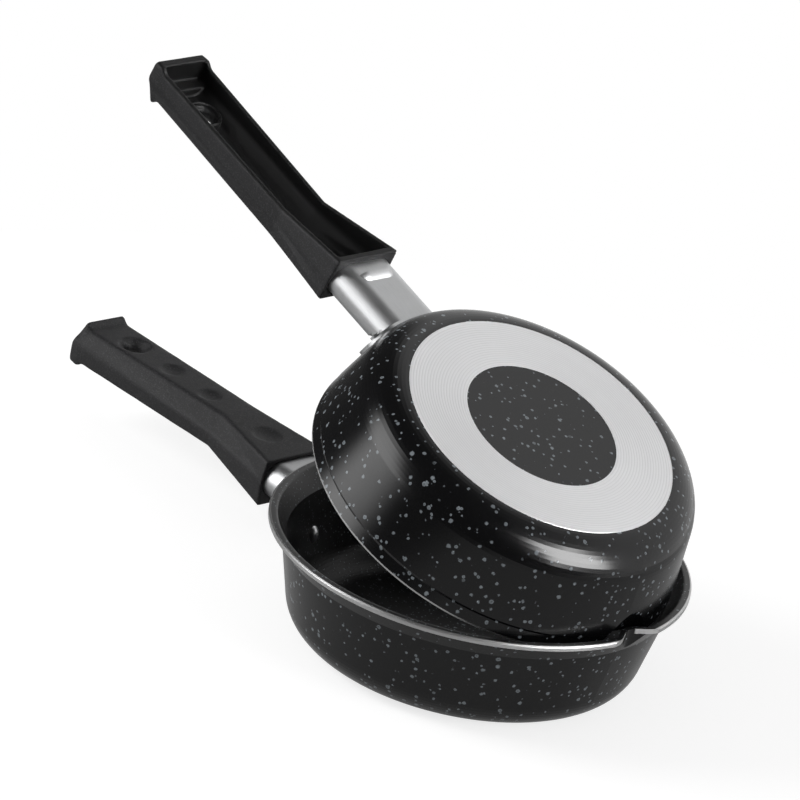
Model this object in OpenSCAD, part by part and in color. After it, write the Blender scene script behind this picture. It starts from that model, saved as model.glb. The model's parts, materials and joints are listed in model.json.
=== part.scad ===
// Double sided flip pan: two non-stick pans that nest rim to rim and open about
// a pair of pressed notches at the far side from the handles.
// Origin at the middle of the lower pan's base, +Z up, handles towards -X.
// The upper pan is drawn turned over and held part open.

/* [Pan sheet and bowl] */
// Thickness of the aluminium sheet
sheet_t = 2.2; // [1.8:0.1:3]
// Radius of the flat turned base
base_r = 64.5; // [58:0.5:72]
// Outer radius of the round between base and wall
bowl_round = 18.5; // [14:0.5:20]
// Lean of the wall, outward from upright, in degrees
wall_draft = 13.5; // [10:0.5:15]
// Height of the crease where wall ends and rim band starts
crease_h = 43; // [38:0.5:48]

/* [Lower rim] */
// Height of the lower rim band above the crease
lower_band = 10.4; // [9:0.2:12]
// How far the lower rim stands out past the upper one
rim_step = 7; // [6:0.5:9]
// Width of the flat lip outside the flare
lip_w = 2.8; // [2:0.2:3.6]
// Height of the bare turned edge of the lower lip
lip_t = 2.4; // [2:0.1:3]
// Round on the lip's top edges
lip_round = 0.9; // [0.5:0.1:1]

/* [Upper rim] */
// Height of the upper pan's rim above the crease of the bowl
upper_band = 4.4; // [3.5:0.1:5.5]
// How far the upper rim stands out past the crease of the bowl
upper_flare = 0.6; // [0.4:0.1:1.5]
// Height of the bare turned edge of the upper rim
upper_edge_t = 0.8; // [0.6:0.1:1.6]
// Height of the hollow band between that edge and the upper crease
upper_hollow = 5; // [4:0.2:6]
// Step in of the crease from the wall, under the upper rim
upper_crease = 0.6; // [0.2:0.1:0.8]

/* [Hinge notches] */
// How far the lower rim is pressed in at the notch
lower_notch = 6.6; // [5:0.2:7]
// Half width of the lower notch
lower_notch_w = 18.5; // [16:0.5:22]
// How far the upper rim is pressed in at the notch
upper_notch = 6.6; // [5:0.2:8]
// Half width of the upper notch
upper_notch_w = 22; // [18:0.5:26]
// Lean of the upper notch as it fades into the wall, in degrees
upper_notch_lean = 12; // [8:1:16]
// Turn of both notches away from the handles' line, in degrees
notch_turn = 2.4; // [0:0.2:4]
// Gap left between the nested rims
nest_gap = 0.3; // [0.2:0.05:0.6]

/* [Hinge] */
// Distance of the hinge line in from the upper pan's rim
hinge_in = 9; // [8:0.5:11]
// Height of the hinge line above the top of the lower rim
hinge_rise = -0.6; // [-1.5:0.1:1]
// Skew of the hinge line, from the play of the notches, in degrees
hinge_skew = 3.2; // [0:0.1:4]
// How far the upper pan stands open, in degrees
open_angle = 21; // [0:1:40]

/* [Handle] */
// Distance of the handle's end face out from the bowl's crease
handle_reach = 32; // [28:0.5:40]
// Depth of the handle's top below the rim, lower pan
lower_handle_drop = 11; // [10:0.2:13]
// Depth of the handle's top below the rim, upper pan
upper_handle_drop = 9.4; // [8.8:0.2:11]
// Rise of the handle away from the pan, in degrees
handle_slope = 1.6; // [0.8:0.2:2]
// Length of the handle
handle_l = 147; // [135:1:165]
// Distance of the waist from the handle's end face
waist_x = 44.5; // [38:0.5:52]
// Wall of the moulded handle
handle_wall = 2.8; // [2:0.1:3.2]
// Thickness of the handle's top
handle_top_t = 3.6; // [3:0.1:4.5]
// Thickness of the end wall that the ferrule meets
end_wall = 3.6; // [3.4:0.1:6]
// Depth of the seat for the ferrule in that wall
seat_depth = 1.2; // [0.8:0.1:1.6]
// Height of the raised stop at the free end
stop_rise = 3.2; // [2:0.1:3.4]
// Round on the handle's long edges
edge_round = 1.4; // [0.8:0.1:2]

/* [Hang hole and finger dimples] */
// Radius of the hang hole
hang_r = 5.2; // [4:0.1:6.5]
// Radius of the dish round the hang hole
hang_dish_r = 8.2; // [7:0.1:8.6]
// Distance of the hang hole from the free end
hang_end = 28.5; // [24:0.5:34]
// Depth of the finger dimples
dimple_depth = 1.5; // [0.8:0.1:2]

/* [Ferrule and bracket] */
// Width of the oval ferrule
ferrule_w = 35; // [30:0.5:36]
// Height of the oval ferrule
ferrule_h = 18; // [15:0.5:19]
// Sheet thickness of the ferrule
ferrule_t = 0.9; // [0.6:0.1:1.2]
// Depth of the ferrule's axis below the handle's top
ferrule_drop = 12.5; // [11.5:0.1:13.5]
// Half width of the bracket's saddle plate
plate_half_w = 29; // [28.5:0.5:31]
// Height of the bracket's saddle plate
plate_h = 23; // [22.5:0.5:24]
// Thickness of the bracket's saddle plate
plate_t = 1.5; // [1:0.1:2]
// Length of the bracket's spigot inside the ferrule
spigot_l = 13; // [10:0.5:18]
// Gap between sliding metal parts
fit_gap = 0.2; // [0.1:0.05:0.4]

/* [Fasteners] */
// Radius of the rivets' shanks
rivet_r = 2.4; // [2:0.1:2.8]
// Radius of the rivets' domed heads
rivet_head_r = 4; // [3.4:0.1:4.2]
// Sideways distance of the rivets from the handle's centre line
rivet_y = 24.4; // [24:0.1:24.8]
// How far the rivets lie below the ferrule's axis
rivet_sink = 5; // [3:0.2:5]
// Radius of the handle screw
screw_r = 2.5; // [2:0.1:3]
// Radius of the handle screw's head
screw_head_r = 4.6; // [4:0.1:5]
// Length of the screw's shank
screw_l = 26; // [20:1:30]

/* [Hidden] */

$fn = 96;
black_coat = "#202024";
bare_metal = "#c9cbcd";
bakelite = "#2b2b2d";
zinc = "#aeb4b6";
steel = "#8f9496";

eps = 0.01;
cut_over = 5;
arc_step = 6;
lip_steps = 3;
notch_steps = 13;
notch_fade = 0.15;
lower_crisp = 3.4;
upper_crisp = 2;

// ---- plane geometry helpers
function unit(v) = v / norm(v);
function left_of(v) = [-v[1], v[0]];
// where the line p + s*d meets the line q + s*e
function meet(p, d, q, e) =
    p + d * ((q - p)[0] * e[1] - (q - p)[1] * e[0]) / (d[0] * e[1] - d[1] * e[0]);
function arc(centre, r, from, to, steps) =
    [for (i = [0:steps]) centre + r * [cos(from + (to - from) * i / steps),
                                       sin(from + (to - from) * i / steps)]];
// a corner c, reached from the side u and left along v, softened over a length
function arc_between(c, u, v, reach) =
    [for (i = [0:lip_steps]) let (k = i / lip_steps)
        c + reach * ((1 - k) * (1 - k) * u + k * k * v)];

// ---- the bowl that both pans share, as [radius, height] points
round_c = [base_r, bowl_round];
wall_dir = [sin(wall_draft), cos(wall_draft)];
wall_start = round_c + bowl_round * [cos(wall_draft), -sin(wall_draft)];
round_steps = ceil((90 - wall_draft) / arc_step);
crease_p = meet(wall_start, wall_dir, [0, crease_h], [1, 0]);
// radius of the outer wall at a height above the base
function wall_r(h) = meet(wall_start, wall_dir, [0, h], [1, 0])[0];
function bowl_outside(grow = 0) =
    arc(round_c, bowl_round + grow, -90, -wall_draft, round_steps);
in_start = wall_start - sheet_t * left_of(wall_dir) * -1;
in_round = arc(round_c, bowl_round - sheet_t, -wall_draft, -90, round_steps);

// ---- the lower pan's rim band
lower_h = crease_h + lower_band;
upper_h = crease_h + upper_band;
upper_rim_r = crease_p[0] + upper_flare;
lower_rim_r = upper_rim_r + rim_step;
hinge_x = upper_rim_r - hinge_in;
lip_root = [lower_rim_r - lip_w, lower_h - lip_t];
flare_dir = unit(lip_root - crease_p);
flare_in = crease_p + sheet_t * left_of(flare_dir);
lip_in = meet(flare_in, flare_dir, [0, lower_h], [1, 0]);
lip_arc = arc([lower_rim_r - lip_round, lower_h - lip_round], lip_round, 0, 90, lip_steps);
lip_bend = arc_between(lip_in, [1, 0], flare_dir * -1, lip_round);
lower_in_crease = meet(flare_in, flare_dir, in_start, wall_dir);
lower_outside = concat([[0, 0]], bowl_outside(), [crease_p, lip_root,
    [lower_rim_r, lower_h - lip_t]], lip_arc);
lower_inside = concat(lip_bend, [lower_in_crease], in_round, [[0, sheet_t]]);

// ---- the upper pan's rim band
upper_crease_h = upper_h - upper_edge_t - upper_hollow;
upper_crease_p = [wall_r(upper_crease_h) - upper_crease, upper_crease_h];
upper_edge_p = [upper_rim_r, upper_h - upper_edge_t];
upper_wall_end = meet(wall_start, wall_dir, [0, upper_crease_h - 2 * upper_crease], [1, 0]);
upper_outside = concat([[0, 0]], bowl_outside(), [upper_wall_end, upper_crease_p,
    upper_edge_p, [upper_rim_r, upper_h]]);
upper_inside = concat([[upper_rim_r - sheet_t, upper_h],
    meet([upper_rim_r - sheet_t, 0], [0, 1], in_start, wall_dir)], in_round, [[0, sheet_t]]);

// ---- how the upper pan lies on the lower one
// the upper rim's outer corner rests on the inside of the lower flare
nest_r = upper_rim_r + nest_gap / flare_dir[1];
seat_z = meet(flare_in, flare_dir, [nest_r, 0], [0, 1])[1];
hinge_z = lower_h + hinge_rise;
handle_x = crease_p[0] + handle_reach;
lower_handle_h = lower_h - lower_handle_drop;
upper_handle_h = upper_h - upper_handle_drop;

// ---- handle stations: [x, top half width, top z, shoulder half width, shoulder z,
//      foot half width, foot z]
face_drop = 1.6;
face_top_w = 18.2;
face_w = 19.3;
face_shoulder = 12.6;
face_h = 25.6;
waist_w = 12.7;
waist_top_w = 7.6;
waist_shoulder = 8.8;
waist_h = 15.8;
tail_w = 14.4;
tail_top_w = 11.8;
tail_shoulder = 6.4;
tail_h = 15.6;
foot_draft = 0.5;
stop_l = 10;
stop_foot = 2.2;
function tail(back, rise, foot) = [handle_l - back, tail_top_w, rise * stop_rise,
    tail_w, -tail_shoulder, tail_w - foot_draft, -tail_h - foot * stop_foot];
handle_stations = [
    [0, face_top_w, -face_drop, face_w, -face_shoulder, face_w - 2 * foot_draft, -face_h],
    [waist_x, waist_top_w, 0, waist_w, -waist_shoulder, waist_w - foot_draft, -waist_h],
    tail(stop_l, 0, 0),
    tail(stop_l - 1.4, 0.1, 0.2),
    tail(stop_l - 2.8, 0.45, 0.7),
    tail(stop_l - 3.8, 0.82, 0.95),
    tail(stop_l - 4.8, 1, 1),
    [handle_l - 1, tail_top_w - 2, -3.4, tail_w - 0.6, -7, tail_w - 0.8, -tail_h - stop_foot * 0.8],
    [handle_l, tail_top_w - 3, -5, tail_w - 1.6, -8, tail_w - 1.8, -tail_h],
];
channel_face_x = end_wall;
channel_end_x = handle_l - 5.2;
ledge_x = handle_l - 12;
// the same stations drawn in by the wall, and run out below the feet
function at_x(x, a, b) = a + (b - a) * (x - a[0]) / (b[0] - a[0]);
function drawn_in(s) = [s[0], max(s[1] - handle_wall, 1.5), s[2] - handle_top_t,
    s[3] - handle_wall, s[4] - handle_wall / 2, s[5] - handle_wall, s[6] - cut_over];
channel_stations = [
    drawn_in(at_x(channel_face_x, handle_stations[0], handle_stations[1])),
    drawn_in(handle_stations[1]),
    drawn_in(handle_stations[2]),
    drawn_in(concat([channel_end_x], [for (i = [1:6]) handle_stations[2][i]])),
];
dimples = [[20.5, 7.6], [62.5, 6], [90.5, 6.4]];
hang_x = handle_l - hang_end;
hang_boss_h = 5.6;
hang_ring_h = 8;
hang_ring_in = hang_r + 1.9;
hang_ring_out = hang_ring_in + 1.5;

// ---- ferrule, bracket and fasteners, in the handle's own frame
ferrule_z = -ferrule_drop;
seat_gap = 0.05;
ferrule_reach = handle_x - base_r;
boss_r = 5.5;
boss_end = -3;
bore_depth = 24;
washer_t = 1.2;
washer_split = 1;
screw_head_h = 3.2;
drive_r = 1.5;
rivet_cap_h = 1.7;
rivet_tail_h = 1.1;
rivet_tail_r = 3.2;
rivet_sag = 0.15;
louvre_x = -7;
louvre_w = 20;
louvre_r = 6.4;
louvre_rise = 1.9;
louvre_reach = sqrt(louvre_r * louvre_r - pow(louvre_r - louvre_rise, 2));
cut_back = 7;

// ---- placing
module at_upper_pan() {
    translate([hinge_x, 0, hinge_z])
        rotate(a = open_angle, v = [0, cos(hinge_skew), sin(hinge_skew)])
            translate([-hinge_x, 0, seat_z + upper_h - hinge_z])
                rotate([180, 0, 0]) children();
}
module at_handle(h) {
    translate([-handle_x, 0, h])
        rotate([0, 0, 180]) rotate([0, -handle_slope, 0]) children();
}
// along the outward normal of the wall, at a height and a sideways distance
module on_wall(h, y) {
    rotate([0, 0, 180 - asin(y / wall_r(h))])
        translate([wall_r(h), 0, h]) rotate([0, 90 + wall_draft, 0]) children();
}
// height above the base of the ferrule's axis where it meets the wall
function mount_h(h) = h - ferrule_drop - (handle_x - wall_r(h - ferrule_drop)) * tan(handle_slope);
// the rivets stay on the straight wall, above the bowl's round
function rivet_h(h) = max(mount_h(h) - rivet_sink, wall_start[1] + rivet_head_r);

// ---- a loft through rounded six-sided sections
function bend(a, b, c, r) = let (
    u = unit(a - b), v = unit(c - b),
    reach = min(r, norm(a - b) / 2.2, norm(c - b) / 2.2),
    p = b + u * reach, q = b + v * reach)
    [for (i = [0:3]) let (k = i / 3) (1 - k) * (1 - k) * p + 2 * k * (1 - k) * b + k * k * q];
function section_corners(s) = [[s[5], s[6]], [s[3], s[4]], [s[1], s[2]],
    [-s[1], s[2]], [-s[3], s[4]], [-s[5], s[6]]];
function section(s, r) = let (c = section_corners(s), n = len(c))
    [for (i = [0:n - 1]) for (p = bend(c[(i + n - 1) % n], c[i], c[(i + 1) % n], r))
        [s[0], p[0], p[1]]];
module loft(stations, r) {
    rings = [for (s = stations) section(s, r)];
    n = len(rings[0]);
    m = len(rings);
    points = [for (ring = rings) for (p = ring) p];
    sides = [for (j = [0:m - 2]) for (i = [0:n - 1]) let (
        a = j * n + i, b = j * n + (i + 1) % n, c = a + n, d = b + n)
        for (f = [[a, d, b], [a, c, d]]) f];
    near_end = [for (i = [0:n - 1]) i];
    far_end = [for (i = [n - 1:-1:0]) (m - 1) * n + i];
    polyhedron(points, concat(sides, [near_end, far_end]));
}

// ---- an oval with flat top and bottom, and round sides
module oval(w, h) {
    square([w - h, h], center = true);
    for (side = [-1, 1])
        translate([side * (w - h) / 2, 0]) circle(d = h);
}
// the oval as a bar along +X, from x to x + l
module oval_bar(w, h, x, l) {
    translate([x, 0, ferrule_z]) rotate([90, 0, 90]) linear_extrude(l) oval(w, h);
}
// the bowl's outer form, moved out by a distance, as a solid
module bowl_form(grow) {
    rotate_extrude()
        polygon(concat([[0, -grow]], bowl_outside(grow),
            [crease_p + grow * [cos(wall_draft), -sin(wall_draft)], [0, crease_h]]));
}

// ---- pans
// plan of a pressed notch: the rim circle drawn in by a power of a cosine
function notch_depth(y, depth, half_w, crisp) = depth * pow(cos(90 * y / half_w), crisp);
function notch_end(depth, half_w, crisp) =
    half_w * (1 - asin(pow(notch_fade / depth, 1 / crisp)) / 90);
function notch_line(r, depth, half_w, crisp, inset = 0) = let (
    end = notch_end(depth, half_w, crisp))
    [for (i = [-notch_steps:notch_steps]) let (
        y = end * i / notch_steps,
        x = sqrt(r * r - y * y) - notch_depth(y, depth, half_w, crisp),
        slope = -y / sqrt(r * r - y * y)
            + notch_depth(y, depth, half_w, crisp - 1) * sin(90 * y / half_w)
            * crisp * PI / (2 * half_w),
        n = unit([-1, slope]))
        [x, y] + inset * n];
module notch_void(r, depth, half_w, crisp) {
    line = notch_line(r, depth, half_w, crisp);
    end = notch_end(depth, half_w, crisp);
    polygon(concat(line, [[r + cut_over, end], [r + cut_over, -end]]));
}
module notch_wall(r, depth, half_w, crisp) {
    outer = notch_line(r, depth, half_w, crisp);
    inner = notch_line(r, depth, half_w, crisp, sheet_t);
    n = len(inner);
    polygon(concat(outer, [for (i = [1:n]) inner[n - i]]));
}
module bowl_shell(outside, inside) {
    rotate_extrude() polygon(concat(outside, inside));
}
// the rim band as a solid ring that nothing of the notch may leave
module band_form(outside, top, bottom) {
    rotate_extrude() intersection() {
        polygon(concat(outside, [[0, top]]));
        translate([base_r, bottom]) square([lower_rim_r, top - bottom]);
    }
}
module rivet_holes(h) {
    for (side = [-1, 1])
        on_wall(rivet_h(h), side * rivet_y)
            translate([0, 0, -2 * sheet_t])
                cylinder(h = 3 * sheet_t + plate_t, r = rivet_r + seat_gap, $fn = 32);
}
module lower_pan() {
    color(black_coat) difference() {
        union() {
            difference() {
                bowl_shell(lower_outside, lower_inside);
                rotate([0, 0, notch_turn]) translate([0, 0, crease_h])
                    linear_extrude(lower_h)
                        notch_void(lower_rim_r, lower_notch, lower_notch_w, lower_crisp);
            }
            intersection() {
                band_form(lower_outside, lower_h, crease_h - sheet_t);
                rotate([0, 0, notch_turn]) linear_extrude(lower_h)
                    notch_wall(lower_rim_r, lower_notch, lower_notch_w, lower_crisp);
            }
        }
        rivet_holes(lower_handle_h);
    }
}
// places a leaning notch so that its deepest line is upright at the rim's edge
module at_upper_notch() {
    foot = upper_rim_r - upper_notch;
    rotate([0, 0, -notch_turn]) translate([foot, 0, upper_h]) rotate([0, -upper_notch_lean, 0])
        translate([-foot, 0, -2 * crease_h]) children();
}
module upper_pan() {
    notch_run = 18;
    color(black_coat) at_upper_pan() difference() {
        union() {
            difference() {
                bowl_shell(upper_outside, upper_inside);
                at_upper_notch()
                    linear_extrude(3 * crease_h)
                        notch_void(upper_rim_r, upper_notch, upper_notch_w, upper_crisp);
            }
            intersection() {
                band_form(upper_outside, upper_h, upper_h - notch_run);
                at_upper_notch()
                    linear_extrude(3 * crease_h)
                        notch_wall(upper_rim_r, upper_notch, upper_notch_w, upper_crisp);
            }
        }
        rivet_holes(upper_handle_h);
    }
}

// ---- bracket: saddle plate, oval spigot and threaded boss
module bracket(h) {
    color(steel) difference() {
        union() {
            intersection() {
                at_handle(h) oval_bar(2 * plate_half_w, plate_h, -handle_x, handle_x);
                difference() {
                    bowl_form(plate_t + seat_gap);
                    bowl_form(seat_gap);
                }
            }
            difference() {
                at_handle(h) {
                    spigot_w = ferrule_w - 2 * ferrule_t - 2 * fit_gap;
                    spigot_h = ferrule_h - 2 * ferrule_t - 2 * fit_gap;
                    wall_x = wall_r(h - ferrule_drop) - handle_x;
                    difference() {
                        oval_bar(spigot_w, spigot_h, wall_x - cut_over, cut_over + spigot_l);
                        oval_bar(spigot_w - 2 * plate_t, spigot_h - 2 * plate_t,
                            wall_x - 2 * cut_over, 3 * cut_over + spigot_l);
                    }
                    translate([wall_x - cut_over, 0, ferrule_z]) rotate([0, 90, 0])
                        cylinder(h = boss_end - wall_x + cut_over, r = boss_r);
                }
                bowl_form(seat_gap + eps);
            }
        }
        at_handle(h) translate([boss_end - bore_depth, 0, ferrule_z]) rotate([0, 90, 0])
            cylinder(h = bore_depth + cut_over, r = screw_r + seat_gap, $fn = 32);
        rivet_holes(h);
    }
}

// ---- rivets: domed heads inside the pan, flat tails on the plate
module rivets(h) {
    cap_r = (rivet_head_r * rivet_head_r + rivet_cap_h * rivet_cap_h) / (2 * rivet_cap_h);
    color(zinc) for (side = [-1, 1])
        on_wall(rivet_h(h), side * rivet_y) {
            head_z = -sheet_t - rivet_sag;
            tail_z = plate_t + 2 * seat_gap;
            translate([0, 0, head_z - eps])
                cylinder(h = tail_z - head_z + 2 * eps, r = rivet_r, $fn = 32);
            intersection() {
                translate([0, 0, head_z - rivet_cap_h + cap_r]) sphere(r = cap_r, $fn = 48);
                translate([0, 0, head_z - rivet_cap_h])
                    cylinder(h = rivet_cap_h, r = rivet_head_r, $fn = 48);
            }
            translate([0, 0, tail_z]) cylinder(h = rivet_tail_h, r = rivet_tail_r, $fn = 48);
        }
}

// ---- ferrule: thin oval tube with a pressed louvre, cut back on the rim side
// the louvre's dome, on the underside near the handle; half of it, from x back to the pan
module louvre_dome(r, over) {
    half_l = louvre_w / 2 - louvre_reach;
    translate([louvre_x, 0, ferrule_z - ferrule_h / 2 + louvre_r - louvre_rise])
        intersection() {
            union() {
                rotate([90, 0, 0]) cylinder(h = 2 * half_l, r = r, center = true, $fn = 48);
                for (side = [-1, 1]) translate([0, side * half_l, 0]) sphere(r = r, $fn = 48);
            }
            translate([over - 2 * r, -louvre_w, -2 * r]) cube([2 * r, 2 * louvre_w, 2 * r]);
        }
}
module ferrule(h) {
    wall_x = wall_r(h - ferrule_drop) - handle_x;
    color(zinc) difference() {
        union() {
            at_handle(h) difference() {
                union() {
                    oval_bar(ferrule_w, ferrule_h, -ferrule_reach,
                        ferrule_reach + seat_depth);
                    louvre_dome(louvre_r, 0);
                }
                oval_bar(ferrule_w - 2 * ferrule_t, ferrule_h - 2 * ferrule_t,
                    -ferrule_reach - 1, ferrule_reach + seat_depth + 2);
                louvre_dome(louvre_r - ferrule_t, eps);
                // the rim side stops short of the wall
                translate([wall_x, 0, ferrule_z + ferrule_h / 2])
                    rotate([0, 30, 0])
                        cube([2 * cut_back, 2 * ferrule_w, cut_back], center = true);
            }
        }
        bowl_form(plate_t + 2 * seat_gap);
    }
}

// ---- handle: tapering moulded channel, open underneath
module handle_body() {
    difference() {
        loft(handle_stations, edge_round);
        loft(channel_stations, edge_round);
    }
}
module handle(h) {
    dish_h = hang_dish_r - hang_r;
    color(bakelite) at_handle(h) difference() {
        union() {
            handle_body();
            // ring round the hang hole, inside the channel
            translate([hang_x, 0, -hang_ring_h])
                cylinder(h = hang_ring_h - handle_top_t / 2, r = hang_ring_out, $fn = 64);
            // ledge across the channel at the free end
            translate([ledge_x, -tail_w + handle_wall / 2, -handle_top_t - 4])
                cube([channel_end_x - ledge_x + 1, 2 * tail_w - handle_wall, 4.5]);
        }
        translate([hang_x, 0, -hang_boss_h - 1])
            cylinder(h = hang_boss_h + 2, r = hang_r, $fn = 64);
        translate([hang_x, 0, -hang_ring_h - 1])
            cylinder(h = hang_ring_h + 1 - hang_boss_h, r = hang_ring_in, $fn = 64);
        translate([hang_x, 0, -dish_h])
            cylinder(h = dish_h + eps, r1 = hang_r, r2 = hang_dish_r + eps, $fn = 64);
        for (d = dimples) {
            ball_r = (d[1] * d[1] + dimple_depth * dimple_depth) / (2 * dimple_depth);
            top_z = -face_drop * max(0, 1 - d[0] / waist_x);
            translate([d[0], 0, top_z + ball_r - dimple_depth])
                sphere(r = ball_r, $fn = 96);
        }
        // seat for the ferrule, and the way through for the screw
        oval_bar(ferrule_w + 2 * fit_gap, ferrule_h + 2 * fit_gap,
            -cut_over, cut_over + seat_depth);
        translate([0, 0, ferrule_z]) rotate([0, 90, 0])
            cylinder(h = 3 * end_wall, r = screw_r + fit_gap, center = true, $fn = 32);
    }
}

// ---- handle screw and its split washer, inside the channel
module screw(h) {
    head_x = end_wall + washer_t + 2 * seat_gap;
    color(steel) at_handle(h) translate([head_x, 0, ferrule_z]) rotate([0, 90, 0])
        difference() {
            union() {
                translate([0, 0, -screw_l]) cylinder(h = screw_l + eps, r = screw_r, $fn = 32);
                cylinder(h = screw_head_h * 0.6, r = screw_head_r, $fn = 48);
                translate([0, 0, screw_head_h * 0.6])
                    cylinder(h = screw_head_h * 0.4, r1 = screw_head_r,
                        r2 = screw_head_r * 0.8, $fn = 48);
            }
            // cross recess
            for (turn = [0, 90]) rotate([0, 0, turn])
                translate([-2 * drive_r, -drive_r / 2, screw_head_h - drive_r])
                    cube([4 * drive_r, drive_r, drive_r + 1]);
        }
}
module lock_washer(h) {
    color(steel) at_handle(h)
        translate([end_wall + seat_gap, 0, ferrule_z]) rotate([0, 90, 0])
            difference() {
                cylinder(h = washer_t, r = screw_head_r, $fn = 48);
                translate([0, 0, -1]) cylinder(h = washer_t + 2, r = screw_r + fit_gap, $fn = 32);
                rotate([0, 0, 45]) translate([0, -washer_split / 2, -1])
                    cube([screw_head_r + 1, washer_split, washer_t + 2]);
            }
}

module lower_bracket() { bracket(lower_handle_h); }
module lower_rivets() { rivets(lower_handle_h); }
module lower_ferrule() { ferrule(lower_handle_h); }
module lower_handle() { handle(lower_handle_h); }
module lower_screw() { screw(lower_handle_h); }
module lower_lock_washer() { lock_washer(lower_handle_h); }
module upper_bracket() { at_upper_pan() bracket(upper_handle_h); }
module upper_rivets() { at_upper_pan() rivets(upper_handle_h); }
module upper_ferrule() { at_upper_pan() ferrule(upper_handle_h); }
module upper_handle() { at_upper_pan() handle(upper_handle_h); }
module upper_screw() { at_upper_pan() screw(upper_handle_h); }
module upper_lock_washer() { at_upper_pan() lock_washer(upper_handle_h); }

lower_pan();
lower_bracket();
lower_rivets();
lower_ferrule();
lower_handle();
lower_screw();
lower_lock_washer();
upper_pan();
upper_bracket();
upper_rivets();
upper_ferrule();
upper_handle();
upper_screw();
upper_lock_washer();
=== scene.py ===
"""Looks for the double sided flip pan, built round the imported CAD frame. Metres, +Z up."""
import json
import math

import bpy
from mathutils import Matrix, Vector


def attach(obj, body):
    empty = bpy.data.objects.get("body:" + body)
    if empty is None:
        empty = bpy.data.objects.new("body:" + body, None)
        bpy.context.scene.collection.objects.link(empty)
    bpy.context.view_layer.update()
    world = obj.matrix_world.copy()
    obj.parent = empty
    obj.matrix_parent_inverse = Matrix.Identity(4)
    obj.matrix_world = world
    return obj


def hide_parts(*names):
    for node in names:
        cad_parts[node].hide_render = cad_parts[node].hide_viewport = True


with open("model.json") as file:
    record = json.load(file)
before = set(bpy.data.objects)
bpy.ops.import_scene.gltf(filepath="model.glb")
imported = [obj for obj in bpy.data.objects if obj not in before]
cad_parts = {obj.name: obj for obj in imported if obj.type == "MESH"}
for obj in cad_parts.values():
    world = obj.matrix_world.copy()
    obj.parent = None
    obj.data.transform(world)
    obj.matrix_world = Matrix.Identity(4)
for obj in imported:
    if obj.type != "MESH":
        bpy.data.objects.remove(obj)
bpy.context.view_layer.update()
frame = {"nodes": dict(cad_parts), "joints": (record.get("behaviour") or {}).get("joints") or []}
SCENE = bpy.context.scene

# ---------------------------------------------------------------- placing of the upper pan
HINGE = next(j for j in frame["joints"] if j["name"] == "pan_hinge")
HINGE_AT = Vector(HINGE["pos_m"])
OPEN = math.radians(-HINGE["range_deg"][0])
HINGE_AXIS = Vector(HINGE["axis"])
SEAT_Z = 0.0488591          # closed: height of the upper pan's rim plane
UPPER_H = 0.0474
LOCAL_TO_UPPER = (
    Matrix.Translation(HINGE_AT)
    @ Matrix.Rotation(OPEN, 4, HINGE_AXIS)
    @ Matrix.Translation(Vector((-HINGE_AT.x, 0, SEAT_Z + UPPER_H - HINGE_AT.z)))
    @ Matrix.Rotation(math.pi, 4, "X")
)
PLACE = {"lower": Matrix.Identity(4), "upper": LOCAL_TO_UPPER}
NOTCH_TURN = math.radians(2.4)   # the notches lie this far off the handles' line
NOTCH_HALF = 0.0185              # half width of the notch's reach along the rim
NOTCH_TIP = 0.0028               # half width of its coated tip
HANDLE_TOP = {"lower": 0.0424, "upper": 0.038}
HANDLE_X = 0.121408
HANDLE_SLOPE = math.radians(1.6)
HANDLE_MID = 0.070               # along the handle, parts its two end walls
HANG_X = 0.1185
CHANNEL_TOP = 0.0030
CHANNEL_FOOT = 0.0300


def handle_matrix(side):
    """Handle frame (x out along the handle, z up) to the row frame."""
    return (
        PLACE[side]
        @ Matrix.Translation((-HANDLE_X, 0, HANDLE_TOP[side]))
        @ Matrix.Rotation(math.pi, 4, "Z")
        @ Matrix.Rotation(-HANDLE_SLOPE, 4, "Y")
    )


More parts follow.
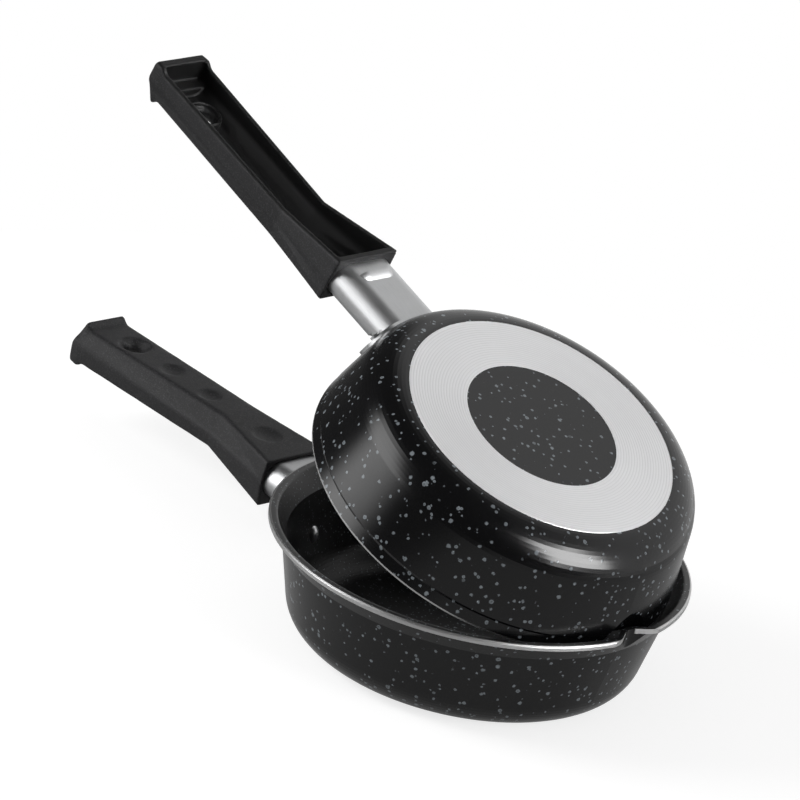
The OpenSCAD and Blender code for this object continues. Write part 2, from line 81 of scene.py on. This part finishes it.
# ---------------------------------------------------------------- node helpers
class Tree:
    """A small builder for shader nodes, so that a material reads top to bottom."""

    def __init__(self, name):
        self.mat = bpy.data.materials.new(name)
        self.mat.use_nodes = True
        self.nodes = self.mat.node_tree.nodes
        self.links = self.mat.node_tree.links
        self.nodes.clear()
        self.out = self.nodes.new("ShaderNodeOutputMaterial")
        self.bsdf = self.nodes.new("ShaderNodeBsdfPrincipled")
        self.links.new(self.bsdf.outputs[0], self.out.inputs["Surface"])

    def feed(self, socket, value):
        if hasattr(value, "is_output"):
            self.links.new(value, socket)
        elif value is not None:
            socket.default_value = value

    def math(self, op, a, b=None, c=None, clamp=False):
        n = self.nodes.new("ShaderNodeMath")
        n.operation = op
        n.use_clamp = clamp
        for i, v in enumerate((a, b, c)):
            if v is not None:
                self.feed(n.inputs[i], v)
        return n.outputs[0]

    def smooth(self, value, low, high):
        """0 below low, 1 above high, smooth between."""
        n = self.nodes.new("ShaderNodeMapRange")
        n.interpolation_type = "SMOOTHSTEP"
        self.feed(n.inputs["Value"], value)
        n.inputs["From Min"].default_value = low
        n.inputs["From Max"].default_value = high
        return n.outputs["Result"]

    def band(self, value, low, high, soft):
        up = self.smooth(value, low - soft, low + soft)
        down = self.smooth(value, high - soft, high + soft)
        return self.math("SUBTRACT", up, down, clamp=True)

    def mix(self, factor, a, b):
        n = self.nodes.new("ShaderNodeMix")
        n.data_type = "RGBA"
        self.feed(n.inputs[0], factor)
        self.feed(n.inputs[6], a)
        self.feed(n.inputs[7], b)
        return n.outputs[2]

    def blend(self, factor, a, b):
        n = self.nodes.new("ShaderNodeMix")
        n.data_type = "FLOAT"
        self.feed(n.inputs[0], factor)
        self.feed(n.inputs[2], a)
        self.feed(n.inputs[3], b)
        return n.outputs[0]

    def vector(self, op, a, b=None):
        n = self.nodes.new("ShaderNodeVectorMath")
        n.operation = op
        self.feed(n.inputs[0], a)
        if b is not None:
            if op == "SCALE":
                self.feed(n.inputs["Scale"], b)
            else:
                self.feed(n.inputs[1], b)
        return n.outputs[1] if op in ("LENGTH", "DOT_PRODUCT", "DISTANCE") else n.outputs[0]

    def split(self, vector):
        n = self.nodes.new("ShaderNodeSeparateXYZ")
        self.feed(n.inputs[0], vector)
        return n.outputs

    def join(self, x, y, z):
        n = self.nodes.new("ShaderNodeCombineXYZ")
        for i, v in enumerate((x, y, z)):
            self.feed(n.inputs[i], v)
        return n.outputs[0]

    def place(self, vector, matrix, kind="POINT"):
        n = self.nodes.new("ShaderNodeMapping")
        n.vector_type = kind
        self.feed(n.inputs["Vector"], vector)
        if kind == "POINT":
            n.inputs["Location"].default_value = matrix.to_translation()
        n.inputs["Rotation"].default_value = matrix.to_euler("XYZ")
        return n.outputs[0]

    def noise(self, vector, scale, detail=2.0, rough=0.5):
        n = self.nodes.new("ShaderNodeTexNoise")
        self.feed(n.inputs["Vector"], vector)
        n.inputs["Scale"].default_value = scale
        n.inputs["Detail"].default_value = detail
        n.inputs["Roughness"].default_value = rough
        return n.outputs

    def voronoi(self, vector, scale):
        n = self.nodes.new("ShaderNodeTexVoronoi")
        self.feed(n.inputs["Vector"], vector)
        n.inputs["Scale"].default_value = scale
        n.inputs["Randomness"].default_value = 1.0
        return n.outputs

    def bump(self, height, strength, distance, normal=None):
        n = self.nodes.new("ShaderNodeBump")
        n.inputs["Strength"].default_value = strength
        n.inputs["Distance"].default_value = distance
        self.feed(n.inputs["Height"], height)
        if normal is not None:
            self.feed(n.inputs["Normal"], normal)
        return n.outputs[0]

    def coords(self, matrix=None):
        """Object coordinates and object normal, moved into a piece's own frame."""
        n = self.nodes.new("ShaderNodeTexCoord")
        point, normal = n.outputs["Object"], n.outputs["Normal"]
        if matrix is not None:
            inverse = matrix.inverted()
            point = self.place(point, inverse)
            normal = self.place(normal, inverse, "NORMAL")
        return point, normal


def grey(v, tint=(1.0, 1.0, 1.0)):
    return (v * tint[0], v * tint[1], v * tint[2], 1.0)


# ---------------------------------------------------------------- materials
COAT = grey(0.0030, (1.0, 1.0, 1.12))
SPECK = grey(0.26, (0.88, 0.98, 1.06))
# Each layer of specks: cell and radius in metres, shift of its pattern, share of cells in use.
BOLD_SPECKS = ((0.0050, 0.00118, 1.0, 0.92), (0.0040, 0.00090, 5.0, 0.85))
FINE_SPECKS = ((0.0019, 0.00048, 9.0, 0.9), (0.0044, 0.00080, 13.0, 0.6))
WOBBLE_CELL = 0.0016
WOBBLE_REACH = 0.0011


def speck_layer(t, point, cell, radius, seed, share):
    """Irregular round specks with soft edges, some of them fainter in the middle."""
    moved = t.vector("ADD", point, (seed * 0.37, seed * 0.11, seed * 0.23))
    wobble = t.noise(moved, 1.0 / WOBBLE_CELL, 2.0, 0.6)[1]
    wobble = t.vector("SCALE", t.vector("SUBTRACT", wobble, (0.5, 0.5, 0.5)), WOBBLE_REACH)
    cells = t.voronoi(t.vector("ADD", moved, wobble), 1.0 / cell)
    distance = t.math("MULTIPLY", cells[0], cell)
    pick = t.split(cells[1])
    size = t.math("MULTIPLY_ADD", pick[0], radius * 0.45, radius * 0.65)
    inside = t.math("DIVIDE", distance, size)
    body = t.smooth(t.math("SUBTRACT", 1.0, inside), 0.0, 0.42)
    hollow = t.math("MULTIPLY", t.smooth(t.math("SUBTRACT", 1.0, inside), 0.45, 0.85), 0.5)
    hollow = t.math("MULTIPLY", hollow, t.smooth(pick[1], 0.35, 0.5))
    kept = t.smooth(pick[2], 1.0 - share - 0.01, 1.0 - share + 0.01)
    full = t.math("SUBTRACT", body, hollow, clamp=True)
    return t.math("MULTIPLY", full, kept)


def coated_pan(side, rim_r, rim_low, rim_high):
    t = Tree("coated_pan_" + side)
    point, normal = t.coords(PLACE[side])
    x, y, z = t.split(point)
    nx, ny, nz = t.split(normal)
    radius = t.math("SQRT", t.math("ADD", t.math("MULTIPLY", x, x), t.math("MULTIPLY", y, y)))
    outward = t.math(
        "DIVIDE",
        t.math("ADD", t.math("MULTIPLY", x, nx), t.math("MULTIPLY", y, ny)),
        t.math("MAXIMUM", radius, 0.001),
    )
    # outside or inside of the sheet
    outer = t.math("MAXIMUM", t.smooth(outward, 0.0, 0.15),
                   t.smooth(t.math("MULTIPLY", nz, -1.0), 0.3, 0.6))
    # specks outside: bold and sparse. Inside: finer and fainter.
    bold = t.math("MAXIMUM", *(speck_layer(t, point, *layer) for layer in BOLD_SPECKS))
    fine = t.math("MAXIMUM", *(speck_layer(t, point, *layer) for layer in FINE_SPECKS))
    fade = t.noise(point, 300.0, 1.0)[0]
    bold = t.math("MULTIPLY", bold, t.math("MULTIPLY_ADD", fade, 0.9, 0.35), clamp=True)
    fine = t.math("MULTIPLY", fine, 0.8)
    speck = t.blend(outer, fine, bold)
    coat = t.mix(speck, COAT, SPECK)
    # bare turned edge of the rim
    edge_noise = t.math("MULTIPLY_ADD", t.noise(point, 900.0, 2.0)[0], 0.0003, -0.00015)
    height = t.math("ADD", z, edge_noise)
    bare = t.band(height, rim_low, rim_high, 0.00006)
    rim_side = t.smooth(radius, rim_r - 0.0011, rim_r - 0.0007)
    turn = NOTCH_TURN if side == "lower" else -NOTCH_TURN
    along = t.math("ADD", t.math("MULTIPLY", x, math.cos(turn)),
                   t.math("MULTIPLY", y, math.sin(turn)))
    across = t.math("ABSOLUTE", t.math("SUBTRACT", t.math("MULTIPLY", y, math.cos(turn)),
                                       t.math("MULTIPLY", x, math.sin(turn))))
    flank = t.math("SUBTRACT", t.smooth(across, NOTCH_TIP, NOTCH_TIP + 0.0008),
                   t.smooth(across, NOTCH_HALF, NOTCH_HALF + 0.0010))
    flank = t.math("MULTIPLY", flank, t.smooth(along, 0.0, 0.010))
    flank = t.math("MULTIPLY", flank, t.smooth(outward, 0.25, 0.45))
    bare = t.math("MULTIPLY", bare, t.math("MAXIMUM", rim_side, flank))
    # turned marks on the bare edge
    marks = t.noise(t.join(t.math("MULTIPLY", radius, 0.2), 0.0, z), 6000.0, 3.0, 0.6)[0]
    bare_colour = t.mix(marks, grey(0.40), grey(0.54))
    t.feed(t.bsdf.inputs["Base Color"], t.mix(bare, coat, bare_colour))
    t.feed(t.bsdf.inputs["Metallic"], bare)
    wear = t.noise(point, 60.0, 4.0, 0.6)[0]
    coat_rough = t.blend(outer, t.math("MULTIPLY_ADD", wear, 0.10, 0.30),
                         t.math("MULTIPLY_ADD", wear, 0.10, 0.15))
    t.feed(t.bsdf.inputs["Roughness"], t.blend(bare, coat_rough, 0.40))
    t.bsdf.inputs["Specular IOR Level"].default_value = 0.34
    # specks stand a little proud, and the coat has a faint orange peel
    peel = t.noise(point, 700.0, 2.0, 0.5)[0]
    relief = t.math("ADD", t.math("MULTIPLY", speck, 0.5), t.math("MULTIPLY", peel, 0.35))
    relief = t.math("MULTIPLY", relief, t.math("SUBTRACT", 1.0, bare))
    t.feed(t.bsdf.inputs["Normal"], t.bump(relief, 0.25, 0.00006))
    return t.mat


BASE_R = 0.0645
DISC_R = 0.0365
GROOVES = 21
RING_IN, RING_OUT = DISC_R + 0.0001, BASE_R + 0.0002
RING_PITCH = (RING_OUT - RING_IN) / GROOVES


def turned_metal():
    """Bare aluminium of the base ring, turned in fine circles, with painted shade darkening its
    grooves.
    """
    t = Tree("turned_metal")
    n = t.nodes.new("ShaderNodeTexCoord")
    uv = t.split(n.outputs["UV"])
    # u runs along the radius in metres, v round the ring
    lines = t.noise(t.join(t.math("MULTIPLY", uv[0], 1.0), t.math("MULTIPLY", uv[1], 0.002), 0.0),
                    9000.0, 3.0, 0.65)[0]
    cloud = t.noise(t.join(uv[0], t.math("MULTIPLY", uv[1], 0.05), 0.0), 90.0, 3.0, 0.5)[0]
    phase = t.math("DIVIDE", t.math("SUBTRACT", uv[0], RING_IN), RING_PITCH)
    phase = t.math("FRACT", phase)
    groove_shade = t.band(phase, 0.50, 0.72, 0.10)
    tone = t.math("MULTIPLY_ADD", lines, 0.10, 0.72)
    # painted shade: the colour is darker along each groove
    tone = t.math("MULTIPLY_ADD", groove_shade, -0.09, tone)
    tone = t.math("MULTIPLY_ADD", cloud, 0.05, tone)
    t.feed(t.bsdf.inputs["Base Color"], t.join(tone, tone, t.math("MULTIPLY", tone, 1.01)))
    t.bsdf.inputs["Metallic"].default_value = 1.0
    t.feed(t.bsdf.inputs["Roughness"], t.math("MULTIPLY_ADD", lines, 0.12, 0.38))
    t.feed(t.bsdf.inputs["Normal"], t.bump(lines, 0.12, 0.00002))
    return t.mat


def bakelite(side):
    """Black moulding: grained outside, smoother inside the channel, with painted shade making the
    channel's inside darker.
    """
    t = Tree("handle_moulding_" + side)
    point, normal = t.coords(handle_matrix(side))
    x, y, z = t.split(point)
    nx, ny, nz = t.split(normal)
    inward = t.math("MULTIPLY", t.math("MULTIPLY", t.math("SIGN", y), ny), -1.0)
    wall = t.math("MULTIPLY", t.smooth(inward, 0.3, 0.6),
                  t.smooth(t.math("ABSOLUTE", y), 0.0042, 0.0050))
    depth = t.math("MULTIPLY", z, -1.0)
    in_channel = t.band(depth, CHANNEL_TOP, CHANNEL_FOOT, 0.0012)
    ceiling = t.math("MULTIPLY", t.smooth(t.math("MULTIPLY", nz, -1.0), 0.3, 0.6), in_channel)
    toward_pan = t.math("MULTIPLY", nx, t.math("SIGN", t.math("SUBTRACT", HANDLE_MID, x)))
    end = t.math("MULTIPLY", t.smooth(toward_pan, 0.4, 0.7), t.smooth(depth, 0.003, 0.004))
    shaded_inside = t.math("MAXIMUM", wall, t.math("MAXIMUM", ceiling, end))
    shaded_inside = t.math("MULTIPLY", shaded_inside, t.smooth(depth, 0.002, 0.003))
    from_hole = t.vector("LENGTH", t.join(t.math("SUBTRACT", x, HANG_X), y, 0.0))
    past_hole = t.math("MAXIMUM", t.smooth(from_hole, 0.0084, 0.0089),
                       t.smooth(depth, 0.0050, 0.0056))
    shaded_inside = t.math("MULTIPLY", shaded_inside, past_hole)
    grain = t.noise(point, 1300.0, 3.0, 0.7)[0]
    coarse = t.noise(point, 420.0, 3.0, 0.6)[0]
    cloud = t.noise(point, 35.0, 3.0, 0.5)[0]
    spots = t.smooth(grain, 0.52, 0.66)
    tone = t.math("MULTIPLY_ADD", spots, 0.022, 0.012)
    tone = t.math("MULTIPLY_ADD", cloud, 0.006, tone)
    # painted shade: inside the channel (its walls, ceiling and end walls) the colour drops to near
    # black
    tone = t.blend(shaded_inside, tone, 0.0025)
    t.feed(t.bsdf.inputs["Base Color"],
           t.join(tone, t.math("MULTIPLY", tone, 0.99), t.math("MULTIPLY", tone, 1.04)))
    rough = t.math("MULTIPLY_ADD", coarse, 0.16, 0.48)
    t.feed(t.bsdf.inputs["Roughness"], t.blend(shaded_inside, rough, 0.58))
    t.bsdf.inputs["Specular IOR Level"].default_value = 0.26
    relief = t.math("MULTIPLY", grain, t.math("SUBTRACT", 1.0, t.math("MULTIPLY", shaded_inside, 0.8)))
    fine = t.bump(relief, 0.6, 0.00012)
    t.feed(t.bsdf.inputs["Normal"], t.bump(coarse, 0.15, 0.0002, fine))
    return t.mat


def drawn_steel(name, base, rough, side=None):
    """Bright steel with fine draw marks along the handle's axis."""
    t = Tree(name)
    point, _ = t.coords(handle_matrix(side) if side else None)
    px, py, pz = t.split(point)
    streak_at = t.join(t.math("MULTIPLY", px, 0.06), py, pz)
    streak = t.noise(streak_at, 2600.0, 3.0, 0.6)[0]
    cloud = t.noise(point, 120.0, 4.0, 0.6)[0]
    tone = t.math("MULTIPLY_ADD", streak, 0.14, base - 0.07)
    tone = t.math("MULTIPLY_ADD", cloud, 0.10, t.math("SUBTRACT", tone, 0.05))
    t.feed(t.bsdf.inputs["Base Color"],
           t.join(tone, t.math("MULTIPLY", tone, 1.01), t.math("MULTIPLY", tone, 1.02)))
    t.bsdf.inputs["Metallic"].default_value = 1.0
    t.feed(t.bsdf.inputs["Roughness"], t.math("MULTIPLY_ADD", cloud, 0.16, rough - 0.05))
    t.feed(t.bsdf.inputs["Normal"], t.bump(streak, 0.25, 0.00003))
    return t.mat


GLOSS_SHARE = 0.3            # how much of the floor's glow gloss sees


def stage_material(name, colour, glow):
    """Pale floor. Seen directly it glows a little, so that it reads as white."""
    mat = bpy.data.materials.new(name)
    mat.use_nodes = True
    nodes, links = mat.node_tree.nodes, mat.node_tree.links
    nodes.clear()
    out = nodes.new("ShaderNodeOutputMaterial")
    diffuse = nodes.new("ShaderNodeBsdfDiffuse")
    diffuse.inputs["Color"].default_value = grey(colour)
    emission = nodes.new("ShaderNodeEmission")
    path = nodes.new("ShaderNodeLightPath")
    seen = nodes.new("ShaderNodeMath")
    seen.operation = "MAXIMUM"
    links.new(path.outputs["Is Camera Ray"], seen.inputs[0])
    both = nodes.new("ShaderNodeMath")
    both.operation = "MAXIMUM"
    links.new(path.outputs["Is Glossy Ray"], both.inputs[0])
    links.new(path.outputs["Is Transmission Ray"], both.inputs[1])
    dimmed = nodes.new("ShaderNodeMath")
    dimmed.operation = "MULTIPLY"
    links.new(both.outputs[0], dimmed.inputs[0])
    dimmed.inputs[1].default_value = GLOSS_SHARE
    links.new(dimmed.outputs[0], seen.inputs[1])
    scale = nodes.new("ShaderNodeMath")
    scale.operation = "MULTIPLY"
    links.new(seen.outputs[0], scale.inputs[0])
    scale.inputs[1].default_value = glow
    links.new(scale.outputs[0], emission.inputs["Strength"])
    add = nodes.new("ShaderNodeAddShader")
    links.new(diffuse.outputs[0], add.inputs[0])
    links.new(emission.outputs[0], add.inputs[1])
    links.new(add.outputs[0], out.inputs["Surface"])
    return mat


# ---------------------------------------------------------------- meshes
def new_object(name, verts, faces, material, uvs):
    mesh = bpy.data.meshes.new(name)
    mesh.from_pydata(verts, [], faces)
    mesh.validate()
    layer = mesh.uv_layers.new(name="UVMap")
    for loop in mesh.loops:
        layer.data[loop.index].uv = uvs[loop.vertex_index]
    mesh.polygons.foreach_set("use_smooth", [True] * len(mesh.polygons))
    mesh.materials.append(material)
    mesh.update()
    obj = bpy.data.objects.new(name, mesh)
    SCENE.collection.objects.link(obj)
    return obj


GROOVE_DEPTH = -0.000015     # the floor of a groove, still proud of the CAD base
FLAT_Z = -0.000085           # the land between two grooves
RING_SEGMENTS = 256


def turned_ring(side):
    """The bare ring of the base, with real turned grooves that stay just clear of the CAD base."""
    shaded_inside, outer, pitch = RING_IN, RING_OUT, RING_PITCH
    profile = [(shaded_inside, 0.00012), (shaded_inside, -0.00003)]
    for i in range(GROOVES):
        a = shaded_inside + pitch * i
        profile += [(a + pitch * 0.10, FLAT_Z), (a + pitch * 0.35, FLAT_Z),
                    (a + pitch * 0.55, GROOVE_DEPTH), (a + pitch * 0.65, GROOVE_DEPTH),
                    (a + pitch * 0.90, FLAT_Z)]
    profile += [(outer - 0.0001, -0.00003), (outer, 0.00006)]
    verts, uvs, faces = [], [], []
    n = len(profile)
    for s in range(RING_SEGMENTS):
        angle = math.tau * s / RING_SEGMENTS
        for r, z in profile:
            verts.append(PLACE[side] @ Vector((r * math.cos(angle), r * math.sin(angle), z)))
            uvs.append((r, abs(s / RING_SEGMENTS - 0.5)))
    for s in range(RING_SEGMENTS):
        here, there = s * n, ((s + 1) % RING_SEGMENTS) * n
        for i in range(n - 1):
            faces.append((here + i, here + i + 1, there + i + 1, there + i))
    return new_object(side + "_turned_ring", verts, faces, TURNED, uvs)


# Along the handle: its end face, its waist and its free end.
STATIONS = (0.0, 0.0445, 0.137)
# The moulding isn't even: past the waist the top edge of its -Y side stays almost straight.
TOP_OUT = (0.00157, 0.00612, 0.0)
BODY_OUT = (0.00067, 0.00166, 0.00146)
FOOT_DOWN = (-0.00048, 0.00043, 0.00165)
# Dimples and hang hole inside this half width keep their round shape.
STILL_AT = (0.030, 0.0445, 0.056, 0.100, 0.108)
STILL_HALF = (0.0079, 0.0056, 0.0063, 0.0066, 0.0089)
TOP_DEPTH = 0.009
FOOT_DEPTH = 0.0158
VOXEL = 0.0006
SOFT_PASSES = 8


def between(x, at, values):
    """Straight-line value at x, held past both ends."""
    if x <= at[0]:
        return values[0]
    for i in range(1, len(at)):
        if x <= at[i]:
            step = values[i] - values[i - 1]
            return values[i - 1] + step * (x - at[i - 1]) / (at[i] - at[i - 1])
    return values[-1]


def moulded_handle(side, material):
    """The handle with its full width and soft moulded edges, made from the node's own shape."""
    source = frame["nodes"][side + "_handle"]
    mesh = source.data.copy()
    mesh.name = side + "_moulding"
    obj = bpy.data.objects.new(side + "_moulding", mesh)
    SCENE.collection.objects.link(obj)
    remesh = obj.modifiers.new("even", "REMESH")
    remesh.mode = "VOXEL"
    remesh.voxel_size = VOXEL
    depsgraph = bpy.context.evaluated_depsgraph_get()
    even = bpy.data.meshes.new_from_object(obj.evaluated_get(depsgraph))
    obj.modifiers.clear()
    obj.data = even
    place = handle_matrix(side)
    back = place.inverted()
    for vertex in even.vertices:
        p = back @ vertex.co
        half = abs(p.y)
        still = between(p.x, STILL_AT, STILL_HALF)
        free = min(max((half - still) / 0.001, 0.0), 1.0)
        low = min(max(-p.z / TOP_DEPTH, 0.0), 1.0)
        top_out = between(p.x, STATIONS, TOP_OUT) if p.y < 0 else 0.0
        out = (1 - low) * top_out + low * between(p.x, STATIONS, BODY_OUT)
        p.y += math.copysign(out * free, p.y)
        p.z -= min(max(-p.z / FOOT_DEPTH, 0.0), 1.0) * between(p.x, STATIONS, FOOT_DOWN)
        vertex.co = place @ p
    smooth = obj.modifiers.new("soft edges", "SMOOTH")
    smooth.factor = 0.5
    smooth.iterations = SOFT_PASSES
    depsgraph = bpy.context.evaluated_depsgraph_get()
    soft = bpy.data.meshes.new_from_object(obj.evaluated_get(depsgraph))
    obj.modifiers.clear()
    obj.data = soft
    soft.name = side + "_moulding"
    soft.materials.clear()
    soft.materials.append(material)
    soft.polygons.foreach_set("use_smooth", [True] * len(soft.polygons))
    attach(obj, side)
    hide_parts(side + "_handle")
    return obj


# ---------------------------------------------------------------- dress the CAD nodes
# Rim radius, and the lowest and highest point of its bare band.
RIM = {"lower": (0.097, 0.0510, 0.0536), "upper": (0.090, 0.0466, 0.0476)}
NODE_SHARP = math.radians(28)
RING_SHARP = math.radians(40)
TURNED = turned_metal()
LOOKS = {}
for side in ("lower", "upper"):
    LOOKS[side + "_ferrule"] = drawn_steel(side + "_ferrule_steel", 0.50, 0.40, side)
    LOOKS[side + "_bracket"] = drawn_steel(side + "_bracket_steel", 0.48, 0.34, side)
    LOOKS[side + "_rivets"] = drawn_steel(side + "_rivet_metal", 0.60, 0.30)
    LOOKS[side + "_screw"] = drawn_steel(side + "_screw_steel", 0.55, 0.30)
    LOOKS[side + "_lock_washer"] = LOOKS[side + "_screw"]
    LOOKS[side + "_handle"] = bakelite(side)
    LOOKS[side + "_pan"] = coated_pan(side, *RIM[side])

for name, obj in frame["nodes"].items():
    material = LOOKS[name]
    if not obj.material_slots:
        obj.data.materials.append(material)
    for slot in obj.material_slots:
        slot.material = material
    obj.data.polygons.foreach_set("use_smooth", [True] * len(obj.data.polygons))
    obj.data.set_sharp_from_angle(angle=NODE_SHARP)

for side in ("lower", "upper"):
    ring = turned_ring(side)
    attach(ring, side)
    ring.data.set_sharp_from_angle(angle=RING_SHARP)
    moulded_handle(side, LOOKS[side + "_handle"])

# ---------------------------------------------------------------- stage, light, camera
FLOOR_MID = Vector((-0.05, 0.0, 0.0))
SOFT_LIGHT = 0.42           # even world light on the object
ROOM = 0.08                 # what gloss sees in front, where the room is dim
LEFT_BOX = 5.4
RIGHT_BOX = 19.0
FLOOR_R = 0.42
FLOOR_Z = -0.0006
FLOOR_SIDES = 96
floor_mesh = bpy.data.meshes.new("floor")
floor_mesh.from_pydata(
    [(FLOOR_MID.x + FLOOR_R * math.cos(math.tau * i / FLOOR_SIDES),
      FLOOR_MID.y + FLOOR_R * math.sin(math.tau * i / FLOOR_SIDES), FLOOR_Z)
     for i in range(FLOOR_SIDES)], [], [tuple(range(FLOOR_SIDES))])
floor = bpy.data.objects.new("floor", floor_mesh)
floor.data.materials.append(stage_material("floor_white", 0.35, 0.76))
SCENE.collection.objects.link(floor)


class Sky(Tree):
    """World nodes: even light for the object, white where a camera looks, and for gloss a
    studio with a white backdrop behind, two tall soft boxes and a dim room in front."""

    def __init__(self):
        self.world = bpy.data.worlds.new("studio")
        SCENE.world = self.world
        self.world.use_nodes = True
        self.nodes = self.world.node_tree.nodes
        self.links = self.world.node_tree.links
        self.nodes.clear()
        place = self.nodes.new("ShaderNodeTexCoord").outputs["Generated"]
        self.x, self.y, self.z = self.split(place)
        flat = self.math("SQRT", self.math("ADD", self.math("MULTIPLY", self.x, self.x),
                                           self.math("MULTIPLY", self.y, self.y)))
        self.flat = self.math("MAXIMUM", flat, 0.001)

    def lobe(self, azimuth, half, soft):
        """1 within half degrees of an azimuth, falling to 0 over the soft degrees."""
        a = math.radians(azimuth)
        side = self.math("ADD", self.math("MULTIPLY", self.x, math.cos(a)),
                         self.math("MULTIPLY", self.y, math.sin(a)))
        return self.smooth(self.math("DIVIDE", side, self.flat),
                           math.cos(math.radians(half + soft)), math.cos(math.radians(half)))

    def rise(self, low, high, soft):
        """1 between two elevations in degrees."""
        heights = [math.sin(math.radians(a)) for a in (low - soft, low, high, high + soft)]
        up = self.smooth(self.z, heights[0], heights[1])
        down = self.smooth(self.z, heights[2], heights[3])
        return self.math("MULTIPLY", up, self.math("SUBTRACT", 1.0, down))

    def build(self):
        backdrop = self.math("MULTIPLY", self.lobe(75, 48, 26), self.rise(-40, 42, 48))
        left_box = self.math("MULTIPLY", self.lobe(-131, 4, 20), self.rise(4, 38, 14))
        right_box = self.math("MULTIPLY", self.lobe(9, 13, 7), self.rise(8, 40, 5))
        gloss = self.math("MULTIPLY_ADD", backdrop, 1.0 - ROOM, ROOM)
        gloss = self.math("MULTIPLY_ADD", left_box, LEFT_BOX, gloss)
        gloss = self.math("MULTIPLY_ADD", right_box, RIGHT_BOX, gloss)
        path = self.nodes.new("ShaderNodeLightPath").outputs
        seen = self.math("MAXIMUM", path["Is Glossy Ray"], path["Is Transmission Ray"])
        strength = self.blend(seen, SOFT_LIGHT, gloss)
        strength = self.blend(path["Is Camera Ray"], strength, 1.0)
        background = self.nodes.new("ShaderNodeBackground")
        background.inputs["Color"].default_value = grey(1.0)
        self.feed(background.inputs["Strength"], strength)
        out = self.nodes.new("ShaderNodeOutputWorld")
        self.links.new(background.outputs[0], out.inputs["Surface"])


Sky().build()


LIGHTS_AIM = Vector((0, 0, 0.08))


def area_light(name, position, size, power):
    data = bpy.data.lights.new(name, "AREA")
    data.energy = power
    data.size = size
    obj = bpy.data.objects.new(name, data)
    SCENE.collection.objects.link(obj)
    obj.location = position
    obj.rotation_euler = (LIGHTS_AIM - Vector(position)).to_track_quat("-Z", "Y").to_euler()
    obj.visible_glossy = False
    return obj


area_light("key", (-1.15, -1.25, 1.1), 0.9, 25)
area_light("fill", (1.75, 0.3, 0.95), 0.8, 11)

SENSOR = 36.0
CAMERA_AT = Vector((1.15723, -1.38511, 0.887891))
RIGHT = Vector((0.68062, 0.70816, 0.18781))
UP = Vector((-0.4086, 0.15414, 0.8996))
FORWARD = Vector((-0.60811, 0.68903, -0.39426))
camera_data = bpy.data.cameras.new("camera")
camera_data.sensor_fit = "HORIZONTAL"
camera_data.sensor_width = SENSOR
camera_data.lens = 198.577
camera_data.clip_start = 0.05
camera_data.clip_end = 50.0
camera = bpy.data.objects.new("camera", camera_data)
SCENE.collection.objects.link(camera)
turn = Matrix((RIGHT, UP, -FORWARD)).transposed()
camera.matrix_world = Matrix.Translation(CAMERA_AT) @ turn.to_quaternion().to_matrix().to_4x4()
SCENE.camera = camera
SCENE.view_settings.view_transform = "Standard"
